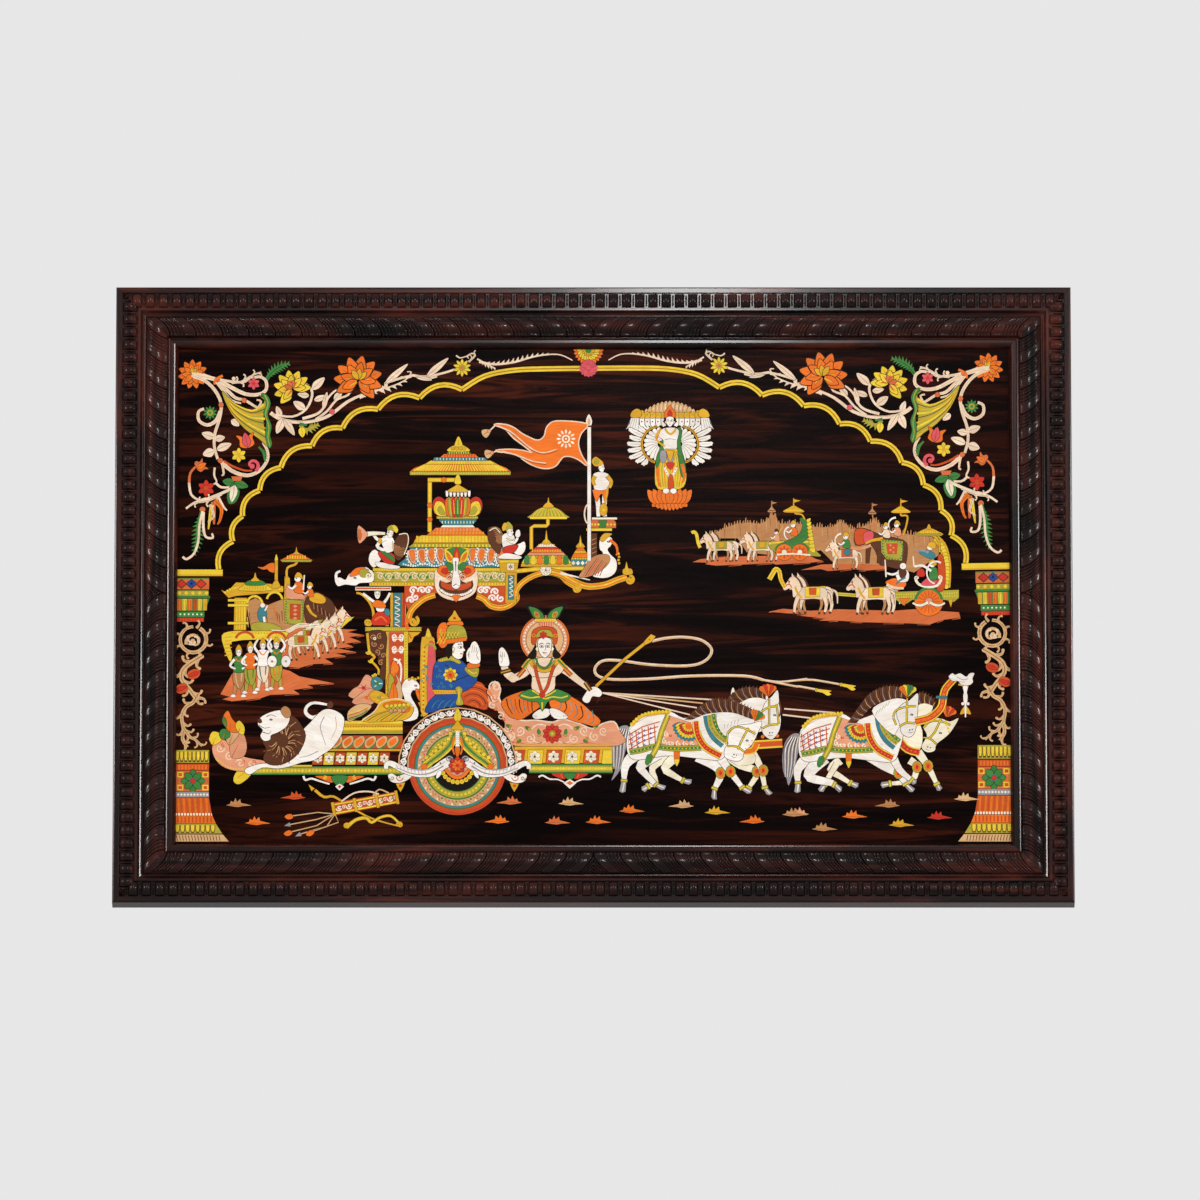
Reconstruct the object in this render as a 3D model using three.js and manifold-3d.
// A framed wall panel: a rosewood board with a flush inlaid picture, held in four carved and
// mitred rosewood rails. The model is in millimetres. It hangs upright with its back on the
// plane y = 0, its front towards -y, +z up, and its origin at the middle of the back.
import * as THREE from "three";
import { mergeVertices } from "three/addons/utils/BufferGeometryUtils.js";
import Module from "manifold-3d";

const wasm = await Module();
wasm.setup();

// Driving dimensions: the frame measures 73 by 49 inches over all.
const INCH = 25.4;
const FRAME_WIDTH = 73 * INCH;
const FRAME_HEIGHT = 49 * INCH;
const RAIL_WIDTH = 122;
const BOARD_THICKNESS = 20;
const LIP_OVERLAP = 12;
const FITTING_GAP = 0.3;
const INLAY_THICKNESS = 2;

// Heights above the back of the rail, across its carved face.
const EDGE_FILLET = { inner: 12, height: 38, bevel: 3 };
const BEAD_BAND = { outer: 13, inner: 42, floor: 35, crest: 44, slope: 6, pitch: 25.7, parting: 11 };
const THIN_FILLET = { outer: 43, inner: 48, height: 38 };
const RECESS = { inner: 56, height: 31 };
const LEAF_BAND = { outer: 57, inner: 102, foot: 33, crest: 44, facets: 3, pitch: 51.4 };
const LEAF_GROOVE = { radius: 9, depth: 6, slant: 0.62, overrun: 20, offset: 0.45 };
const SIGHT_FLAT = { inner: 112, height: 32 };
const LIP = { height: 24, width: 3 };

// The picture is set out on a squared drawing laid over the sight opening, counted in
// squares from the middle of the picture, across and up.
const SQUARES_ACROSS = 830;
const SQUARES_UP = 498;
const OPENING_WIDTH = FRAME_WIDTH - 2 * RAIL_WIDTH;
const OPENING_HEIGHT = FRAME_HEIGHT - 2 * RAIL_WIDTH;
const SQUARE_WIDTH = OPENING_WIDTH / SQUARES_ACROSS;
const SQUARE_HEIGHT = OPENING_HEIGHT / SQUARES_UP;

const WOODS = {
  rosewood: { color: 0x2c120c, roughness: 0.3 },
  ground: { color: 0x1e0d0a, roughness: 0.28 },
  yellow: { color: 0xe4c22e, roughness: 0.4 },
  gold: { color: 0xcf9d2a, roughness: 0.4 },
  orange: { color: 0xdd6420, roughness: 0.4 },
  cream: { color: 0xecd3b4, roughness: 0.4 },
  ivory: { color: 0xf4f1e4, roughness: 0.35 },
  tan: { color: 0xcf9a63, roughness: 0.4 },
  salmon: { color: 0xd98f68, roughness: 0.4 },
  blue: { color: 0x1f4fa0, roughness: 0.4 },
};

// A closed three.js geometry as a solid that can be joined and cut.
function solidOf(geometry) {
  const bare = geometry.clone();
  bare.deleteAttribute("normal");
  bare.deleteAttribute("uv");
  const merged = mergeVertices(bare, 1e-3);
  return new wasm.Manifold(
    new wasm.Mesh({
      numProp: 3,
      vertProperties: new Float32Array(merged.attributes.position.array),
      triVerts: new Uint32Array(merged.index.array),
    }),
  );
}

function geometryOf(solid) {
  const mesh = solid.getMesh();
  const geometry = new THREE.BufferGeometry();
  geometry.setAttribute("position", new THREE.BufferAttribute(mesh.vertProperties, 3));
  geometry.setIndex(new THREE.BufferAttribute(mesh.triVerts, 1));
  geometry.computeVertexNormals();
  return geometry;
}

function meshOf(name, solid, wood) {
  const material = new THREE.MeshStandardMaterial({ ...WOODS[wood], metalness: 0 });
  const mesh = new THREE.Mesh(geometryOf(solid), material);
  mesh.name = name;
  return mesh;
}

// The rail's section as [distance in from the outer edge, height above the back].
function railSection() {
  const section = [
    [0, 0],
    [0, EDGE_FILLET.height - EDGE_FILLET.bevel],
    [EDGE_FILLET.bevel, EDGE_FILLET.height],
    [EDGE_FILLET.inner, EDGE_FILLET.height],
    [BEAD_BAND.outer, BEAD_BAND.floor],
    [BEAD_BAND.outer + BEAD_BAND.slope, BEAD_BAND.crest],
    [BEAD_BAND.inner - BEAD_BAND.slope, BEAD_BAND.crest],
    [BEAD_BAND.inner, BEAD_BAND.floor],
    [THIN_FILLET.outer, THIN_FILLET.height],
    [THIN_FILLET.inner, THIN_FILLET.height],
    [RECESS.inner, RECESS.height],
  ];
  const { outer, inner, foot, crest, facets } = LEAF_BAND;
  for (let i = 0; i <= facets; i += 1) {
    const share = i / facets;
    section.push([outer + share * (inner - outer), foot + (crest - foot) * Math.sin(Math.PI * share)]);
  }
  section.push(
    [SIGHT_FLAT.inner, SIGHT_FLAT.height],
    [RAIL_WIDTH - LIP.width, LIP.height],
    [RAIL_WIDTH, BOARD_THICKNESS + FITTING_GAP],
    [RAIL_WIDTH - LIP_OVERLAP, BOARD_THICKNESS + FITTING_GAP],
    [RAIL_WIDTH - LIP_OVERLAP, 0],
  );
  return section.map(([across, height]) => new THREE.Vector2(across, height));
}

// The section run along local x and cut at both ends on the mitre. Local y is the distance in.
function mitredBlank(length) {
  const shape = new THREE.Shape(railSection());
  const blank = new THREE.ExtrudeGeometry(shape, { depth: length, steps: 1, bevelEnabled: false });
  blank.translate(0, 0, -length / 2);
  const across = new THREE.Vector3(0, 1, 0);
  const up = new THREE.Vector3(0, 0, 1);
  const along = new THREE.Vector3(1, 0, 0);
  blank.applyMatrix4(new THREE.Matrix4().makeBasis(across, up, along));
  const place = blank.attributes.position;
  for (let i = 0; i < place.count; i += 1) {
    const reach = length / 2 - place.getY(i) - FITTING_GAP / 2;
    place.setX(i, Math.sign(place.getX(i)) * reach);
  }
  return solidOf(blank);
}

// The vee cut that parts two pillows of the bead band, down to the band's floor.
function beadParting(along) {
  const depth = BEAD_BAND.crest - BEAD_BAND.floor;
  const reach = BEAD_BAND.inner - BEAD_BAND.outer;
  const vee = new THREE.Shape([
    new THREE.Vector2(0, 0),
    new THREE.Vector2(BEAD_BAND.parting, 2 * depth),
    new THREE.Vector2(-BEAD_BAND.parting, 2 * depth),
  ]);
  const wedge = new THREE.ExtrudeGeometry(vee, { depth: reach, steps: 1, bevelEnabled: false });
  wedge.rotateX(Math.PI / 2);
  wedge.translate(along, BEAD_BAND.inner, BEAD_BAND.floor);
  return solidOf(wedge);
}

// A slanting vee groove between two leaves. The leaves lean away from the rail's middle.
function leafGroove(along, lean) {
  const middle = (LEAF_BAND.outer + LEAF_BAND.inner) / 2;
  const reach = LEAF_BAND.inner - LEAF_BAND.outer + LEAF_GROOVE.overrun;
  const groove = new THREE.CylinderGeometry(LEAF_GROOVE.radius, LEAF_GROOVE.radius, reach, 3);
  groove.rotateY(Math.PI);
  groove.rotateZ(lean * LEAF_GROOVE.slant);
  groove.translate(along, middle, LEAF_BAND.crest + LEAF_GROOVE.radius - LEAF_GROOVE.depth);
  return solidOf(groove);
}

// One rail. Its cuts are kept inside the room that the mitres leave it.
function carvedRail(length) {
  let rail = mitredBlank(length);
  const mitredFace = new THREE.Shape([
    new THREE.Vector2(-length / 2, 0),
    new THREE.Vector2(length / 2, 0),
    new THREE.Vector2(length / 2 - RAIL_WIDTH, RAIL_WIDTH),
    new THREE.Vector2(RAIL_WIDTH - length / 2, RAIL_WIDTH),
  ]);
  const room = new THREE.ExtrudeGeometry(mitredFace, { depth: 2 * BEAD_BAND.crest, bevelEnabled: false });
  room.scale((length - FITTING_GAP) / length, 1, 1);
  const beadLine = length - BEAD_BAND.outer - BEAD_BAND.inner;
  const beads = Math.round(beadLine / BEAD_BAND.pitch);
  for (let i = 0; i <= beads; i += 1) {
    rail = rail.subtract(beadParting((i / beads - 0.5) * beadLine));
  }
  const halfLine = (length - LEAF_BAND.outer - LEAF_BAND.inner) / 2;
  const leaves = Math.round(halfLine / LEAF_BAND.pitch);
  for (const side of [-1, 1]) {
    for (let i = 0; i < leaves; i += 1) {
      rail = rail.subtract(leafGroove(side * (i + LEAF_GROOVE.offset) * (halfLine / leaves), side));
    }
  }
  return rail.intersect(solidOf(room));
}

// Outlines of the inlays. A point is given in squares and comes out in millimetres.
const at = (across, up) => new THREE.Vector2(across * SQUARE_WIDTH, up * SQUARE_HEIGHT);

const polygon = (...squares) => squares.map(([across, up]) => at(across, up));

const mirrored = (outline) => outline.map((p) => new THREE.Vector2(-p.x, p.y)).reverse();

function roundOutline([across, up], radius, sides, start = 0, sweep = 2 * Math.PI) {
  const centre = at(across, up);
  const whole = sweep >= 2 * Math.PI;
  const outline = [];
  for (let i = 0; i < sides + (whole ? 0 : 1); i += 1) {
    const turn = start + (sweep * i) / sides;
    outline.push(new THREE.Vector2(centre.x + radius * Math.cos(turn), centre.y + radius * Math.sin(turn)));
  }
  return outline;
}

// A flower seen from the front: long and short points by turns.
function flowerOutline([across, up], radius, petals, share = 0.62) {
  const centre = at(across, up);
  const outline = [];
  for (let i = 0; i < 2 * petals; i += 1) {
    const turn = (Math.PI * i) / petals + Math.PI / 2;
    const reach = i % 2 ? radius * share : radius;
    outline.push(new THREE.Vector2(centre.x + reach * Math.cos(turn), centre.y + reach * Math.sin(turn)));
  }
  return outline;
}

// A strip along a line, narrowing from one width to another, with its ends cut square.
function stripOutline(line, width, endWidth = width) {
  const left = [];
  const right = [];
  line.forEach((p, i) => {
    const before = line[Math.max(i - 1, 0)];
    const after = line[Math.min(i + 1, line.length - 1)];
    const side = new THREE.Vector2(before.y - after.y, after.x - before.x);
    side.setLength((width + ((endWidth - width) * i) / (line.length - 1)) / 2);
    left.push(p.clone().add(side));
    right.unshift(p.clone().sub(side));
  });
  return [...right, ...left];
}

// The line of the cusped arch, from its left springing to its right one.
function archLine() {
  const cusps = polygon([-130, 210], [-173, 202], [-215, 190], [-250, 171], [-282, 155]);
  cusps.push(...polygon([-313, 132], [-334, 109], [-350, 84], [-361, 57], [-374, 29]));
  const half = polygon([0, 229], [-70, 226]);
  half.push(cusps[0]);
  for (let i = 1; i < cusps.length; i += 1) {
    const chord = cusps[i].clone().sub(cusps[i - 1]);
    const outward = new THREE.Vector2(chord.y, -chord.x).multiplyScalar(LOBE_BULGE);
    half.push(cusps[i - 1].clone().addScaledVector(chord, 0.5).add(outward));
    half.push(cusps[i]);
  }
  return [...mirrored(half), ...half.slice(1)].reverse();
}

const ARCH_BAND_WIDTH = 12;
const LOBE_BULGE = 0.22;
const WHEEL = { centre: [-136, -171], radius: 95, guard: 115 };
const LIMB = { root: 13, end: 9 };
const ARM = { root: 15, end: 12 };
const REAR_HORSES = [74, -142];
const FRONT_HORSES = [245, -144];

// One horse at the trot, counted in squares from the middle of its girth. Its head is carried
// low or high.
const HORSE = {
  trunk: [[-41, 8], [-30, 20], [30, 26], [58, 2], [48, -22], [-30, -18]],
  low: [[24, 22], [52, 38], [91, 25], [76, -21], [61, -20], [54, -2]],
  high: [[20, 22], [42, 52], [77, 44], [78, 10], [66, 2], [52, 16]],
  tail: [[-36, 12], [-52, -4], [-58, -44]],
  legs: [
    [[-32, -14], [-42, -28], [-49, -58]],
    [[-14, -14], [-29, -31], [-5, -59]],
    [[36, -16], [52, -36], [34, -58]],
    [[52, -16], [63, -37], [84, -61]],
  ],
};

function horseOutlines([across, up], head, parts) {
  const placed = (points) => polygon(...points.map(([x, y]) => [x + across, y + up]));
  const limbs = parts.map((line) => stripOutline(placed(line), LIMB.root, LIMB.end));
  return [placed(HORSE[head]), ...limbs];
}

// Two horses abreast. The far one stands a little ahead and shows its head and two of its legs.
function horsePair([across, up], near, far) {
  const trunk = polygon(...HORSE.trunk.map(([x, y]) => [x + across, y + up]));
  return [
    trunk,
    ...horseOutlines([across, up], near, [...HORSE.legs, HORSE.tail]),
    ...horseOutlines([across + 30, up + 2], far, HORSE.legs.slice(1, 3)),
  ];
}

// A corner spray: a horn of plenty with stems that run along the arch and down the side.
function cornerSpray() {
  const upper = polygon([-402, 224], [-303, 211], [-262, 194], [-222, 224], [-118, 239], [-24, 239]);
  const lower = polygon([-402, 224], [-384, 186], [-350, 136], [-387, 100], [-408, 38]);
  return [
    stripOutline(upper, 10, 7),
    stripOutline(lower, 10, 7),
    polygon([-392, 190], [-328, 207], [-321, 178], [-328, 151]),
    roundOutline([-401, 222], 22, 5),
    roundOutline([-303, 213], 23, 5),
    roundOutline([-236, 221], 36, 6),
    roundOutline([-350, 138], 22, 5),
  ];
}

// Every inlay as [name, wood, outlines], from the top of the picture's layers down. Where two
// meet, the earlier one is whole and the later one is cut round it.
function inlays() {
  const list = [
    ["inlay_wheel", "orange", [
      roundOutline(WHEEL.centre, WHEEL.radius, 15),
      roundOutline(WHEEL.centre, WHEEL.guard, 8, 0, Math.PI),
      polygon([-212, -174], [-60, -174], [-60, -168], [-212, -168]),
    ]],
    ["inlay_charioteer", "ivory", [
      roundOutline([-49, -47], 47, 9),
      polygon([-66, -7], [-49, -14], [-32, -7], [-38, -26], [-60, -26]),
      polygon([-66, -62], [-32, -62], [-39, -92], [-10, -106], [8, -126], [-45, -124], [-92, -106], [-60, -92]),
      stripOutline(polygon([-60, -66], [-83, -86], [-89, -56]), ARM.root, ARM.end),
      stripOutline(polygon([-38, -66], [-14, -86], [6, -100]), ARM.root, ARM.end),
    ]],
    ["inlay_passenger", "blue", [
      polygon(
        [-171, -116], [-171, -48], [-164, -34], [-157, -60], [-147, -58], [-155, -30], [-138, -15], [-128, -30],
        [-128, -60], [-121, -68], [-118, -45], [-111, -62], [-115, -84], [-104, -94], [-104, -116],
      ),
    ]],
    ["inlay_lion", "ivory", [
      polygon(
        [-334, -136], [-322, -119], [-298, -130], [-278, -108], [-256, -114], [-251, -146], [-268, -163],
        [-345, -178], [-349, -172], [-322, -163],
      ),
    ]],
    ["inlay_rear_horses", "ivory", horsePair(REAR_HORSES, "low", "high")],
    ["inlay_front_horses", "ivory", horsePair(FRONT_HORSES, "high", "low")],
    ["inlay_pole_end", "orange", [
      stripOutline(polygon([310, -126], [338, -112], [348, -84], [368, -76]), 14),
      flowerOutline([370, -79], 20, 4),
      stripOutline(polygon([371, -84], [371, -116]), 9),
    ]],
    ["inlay_deck_rear", "gold", [
      polygon(
        [-249, -126], [-190, -126], [-184, -140], [-184, -180], [-341, -180], [-341, -172], [-298, -169],
        [-286, -153], [-249, -153],
      ),
      polygon([-290, -178], [-252, -192], [-214, -178]),
    ]],
    ["inlay_deck_front", "salmon", [
      polygon(
        [-106, -86], [-99, -80], [-92, -88], [-92, -106], [-72, -124], [-40, -131], [26, -126], [19, -180],
        [-80, -180], [-106, -118],
      ),
      polygon([-56, -178], [-24, -191], [8, -178]),
    ]],
    ["inlay_back_pillar", "salmon", [
      polygon(
        [-228, -31], [-172, -31], [-185, -42], [-185, -88], [-174, -88], [-170, -98], [-176, -124], [-246, -124],
        [-238, -104], [-222, -92],
      ),
      polygon([-224, 9], [-185, 9], [-185, -33], [-212, -33], [-228, -14]),
    ]],
    ["inlay_canopy_beam", "gold", [
      polygon(
        [-240, 31], [-74, 31], [-52, 52], [-24, 36], [-2, 28], [30, 27], [44, 17], [12, 15], [-8, 2], [-20, 4],
        [-36, 14], [-76, 8], [-70, -10], [-92, -16], [-112, 4], [-137, -8], [-166, 6], [-182, 6], [-180, -24],
        [-194, -26], [-202, 8], [-236, 12], [-250, 9], [-256, 20],
      ),
    ]],
    ["inlay_dome", "gold", [
      polygon(
        [-192, 30], [-178, 62], [-153, 70], [-160, 84], [-158, 98], [-135, 122], [-112, 98], [-110, 84],
        [-117, 70], [-102, 62], [-88, 30],
      ),
    ]],
    ["inlay_parasol", "yellow", [
      polygon([-183, 123], [-164, 138], [-149, 144], [-135, 161], [-121, 144], [-106, 138], [-83, 123]),
    ]],
    ["inlay_flag", "orange", [
      polygon(
        [-8, 172], [-22, 177], [-38, 172], [-56, 160], [-109, 165], [-68, 153], [-104, 143], [-50, 138],
        [-34, 141], [-20, 133], [-8, 133],
      ),
    ]],
    ["inlay_flag_pole", "ivory", [
      polygon([-7, 186], [-2, 186], [-2, 32], [-7, 32]),
      polygon([-4, 108], [2, 124], [8, 138], [14, 124], [20, 108], [16, 66], [28, 62], [28, 40], [-4, 32]),
    ]],
    ["inlay_cloud_figure", "cream", [
      polygon([50, 178], [76, 198], [102, 178], [118, 160], [106, 138], [92, 128], [62, 128], [46, 138], [34, 160]),
      polygon([62, 132], [90, 132], [92, 110], [98, 98], [84, 88], [68, 88], [54, 98], [62, 110]),
    ]],
    ["inlay_left_procession", "tan", [
      polygon(
        [-372, -103], [-294, -104], [-298, -90], [-258, -88], [-280, -70], [-240, -62], [-234, -40], [-264, -16],
        [-284, -4], [-284, 36], [-297, 50], [-312, 36], [-312, 8], [-338, 26], [-372, 6], [-362, -8],
      ),
    ]],
    ["inlay_near_chariot", "gold", [
      polygon(
        [174, -18], [196, -10], [176, 24], [190, 26], [204, 10], [262, 14], [290, 2], [300, 16], [320, 20],
        [322, 50], [352, 50], [356, 20], [366, -24], [250, -26],
      ),
      roundOutline([335, 62], 34, 6, 0, Math.PI),
      stripOutline(polygon([335, 66], [335, 44]), 8),
    ]],
    ["inlay_far_army", "tan", [
      polygon(
        [98, 34], [104, 62], [180, 82], [197, 98], [206, 82], [266, 68], [310, 92], [322, 76], [356, 66],
        [354, 40], [322, 26], [206, 24],
      ),
    ]],
    ["inlay_bow_and_quiver", "orange", [
      polygon([-302, -234], [-278, -220], [-258, -216], [-192, -199], [-187, -206], [-250, -225], [-276, -234]),
    ]],
    ["inlay_prow_scroll", "salmon", [
      polygon([-380, -134], [-372, -148], [-364, -120], [-352, -140], [-346, -158], [-366, -166], [-378, -150]),
      polygon([-372, -160], [-346, -158], [-338, -180], [-354, -192], [-362, -180]),
    ]],
    ["inlay_arch_band", "yellow", [
      stripOutline(archLine(), ARCH_BAND_WIDTH),
      polygon([-414, 30], [-369, 30], [-369, 23], [-414, 23]),
      mirrored(polygon([-414, 30], [-369, 30], [-369, 23], [-414, 23])),
    ]],
    ["inlay_keystone_flower", "orange", [
      polygon([-20, 249], [20, 249], [12, 234], [-12, 234]),
    ]],
  ];
  const sides = [["left", (outline) => outline], ["right", mirrored]];
  for (const [side, placed] of sides) {
    const pieces = [
      ["corner_spray", "cream", cornerSpray()],
      ["capital", "orange", [polygon([-414, 20], [-384, 20], [-386, -4], [-390, -26], [-414, -26])]],
      ["column_scroll", "cream", [
        polygon([-412, -32], [-392, -30], [-384, -46], [-402, -76], [-388, -122], [-396, -152], [-408, -152],
          [-402, -122], [-412, -94]),
      ]],
      ["column_base", "orange", [
        polygon([-414, -156], [-382, -156], [-384, -196], [-380, -218], [-364, -246], [-414, -246]),
      ]],
    ];
    for (const [name, wood, outlines] of pieces) {
      list.push([`inlay_${name}_${side}`, wood, outlines.map(placed)]);
    }
  }
  return list;
}

// An outline grown by a margin all round, for the pocket that its inlay sits in.
function grown(outline, margin) {
  const turning = THREE.ShapeUtils.isClockWise(outline) ? -1 : 1;
  return outline.map((p, i) => {
    const before = outline.at(i - 1);
    const after = outline[(i + 1) % outline.length];
    const first = new THREE.Vector2(p.y - before.y, before.x - p.x).normalize();
    const second = new THREE.Vector2(after.y - p.y, p.x - after.x).normalize();
    const corner = first.clone().add(second).normalize();
    const spread = Math.max(corner.dot(first), 0.4);
    return p.clone().addScaledVector(corner, (turning * margin) / spread);
  });
}

// Outlines raised into one fused solid between two heights above the back.
function raised(outlines, low, high) {
  const solids = outlines.map((outline) => {
    const slab = new THREE.ExtrudeGeometry(new THREE.Shape(outline), { depth: high - low, bevelEnabled: false });
    slab.translate(0, 0, low);
    return solidOf(slab);
  });
  return solids.reduce((joined, next) => joined.add(next));
}

// The main body of a plate, without the slivers that its neighbours' pockets cut off it.
const mainBody = (solid) => solid.decompose().reduce((main, next) => (next.volume() > main.volume() ? next : main));

const panel = new THREE.Group();
panel.rotation.x = Math.PI / 2;

const frame = new THREE.Group();
const rails = [
  ["rail_bottom", FRAME_WIDTH, FRAME_HEIGHT, 0],
  ["rail_right", FRAME_HEIGHT, FRAME_WIDTH, Math.PI / 2],
  ["rail_top", FRAME_WIDTH, FRAME_HEIGHT, Math.PI],
  ["rail_left", FRAME_HEIGHT, FRAME_WIDTH, -Math.PI / 2],
];
for (const [name, length, span, turn] of rails) {
  const side = new THREE.Group();
  side.rotation.z = turn;
  const rail = meshOf(name, carvedRail(length), "rosewood");
  rail.position.y = -span / 2;
  side.add(rail);
  frame.add(side);
}
panel.add(frame);

// The board takes a shallow pocket for each inlay, and the inlays lie flush with its face.
const pocketFloor = BOARD_THICKNESS - INLAY_THICKNESS;
const picture = new THREE.Group();
let pockets = null;
for (const [name, wood, outlines] of inlays()) {
  let plate = raised(outlines, pocketFloor, BOARD_THICKNESS);
  const pocket = raised(
    outlines.map((outline) => grown(outline, FITTING_GAP)),
    pocketFloor - FITTING_GAP,
    BOARD_THICKNESS + 1,
  );
  if (pockets) plate = mainBody(plate.subtract(pockets));
  pockets = pockets ? pockets.add(pocket) : pocket;
  picture.add(meshOf(name, plate, wood));
}
const boardWidth = OPENING_WIDTH + 2 * (LIP_OVERLAP - FITTING_GAP);
const boardHeight = OPENING_HEIGHT + 2 * (LIP_OVERLAP - FITTING_GAP);
const slab = new THREE.BoxGeometry(boardWidth, boardHeight, BOARD_THICKNESS);
slab.translate(0, 0, BOARD_THICKNESS / 2);
picture.add(meshOf("ground_board", solidOf(slab).subtract(pockets), "ground"));
panel.add(picture);

const group = new THREE.Group();
group.add(panel);
export default group;
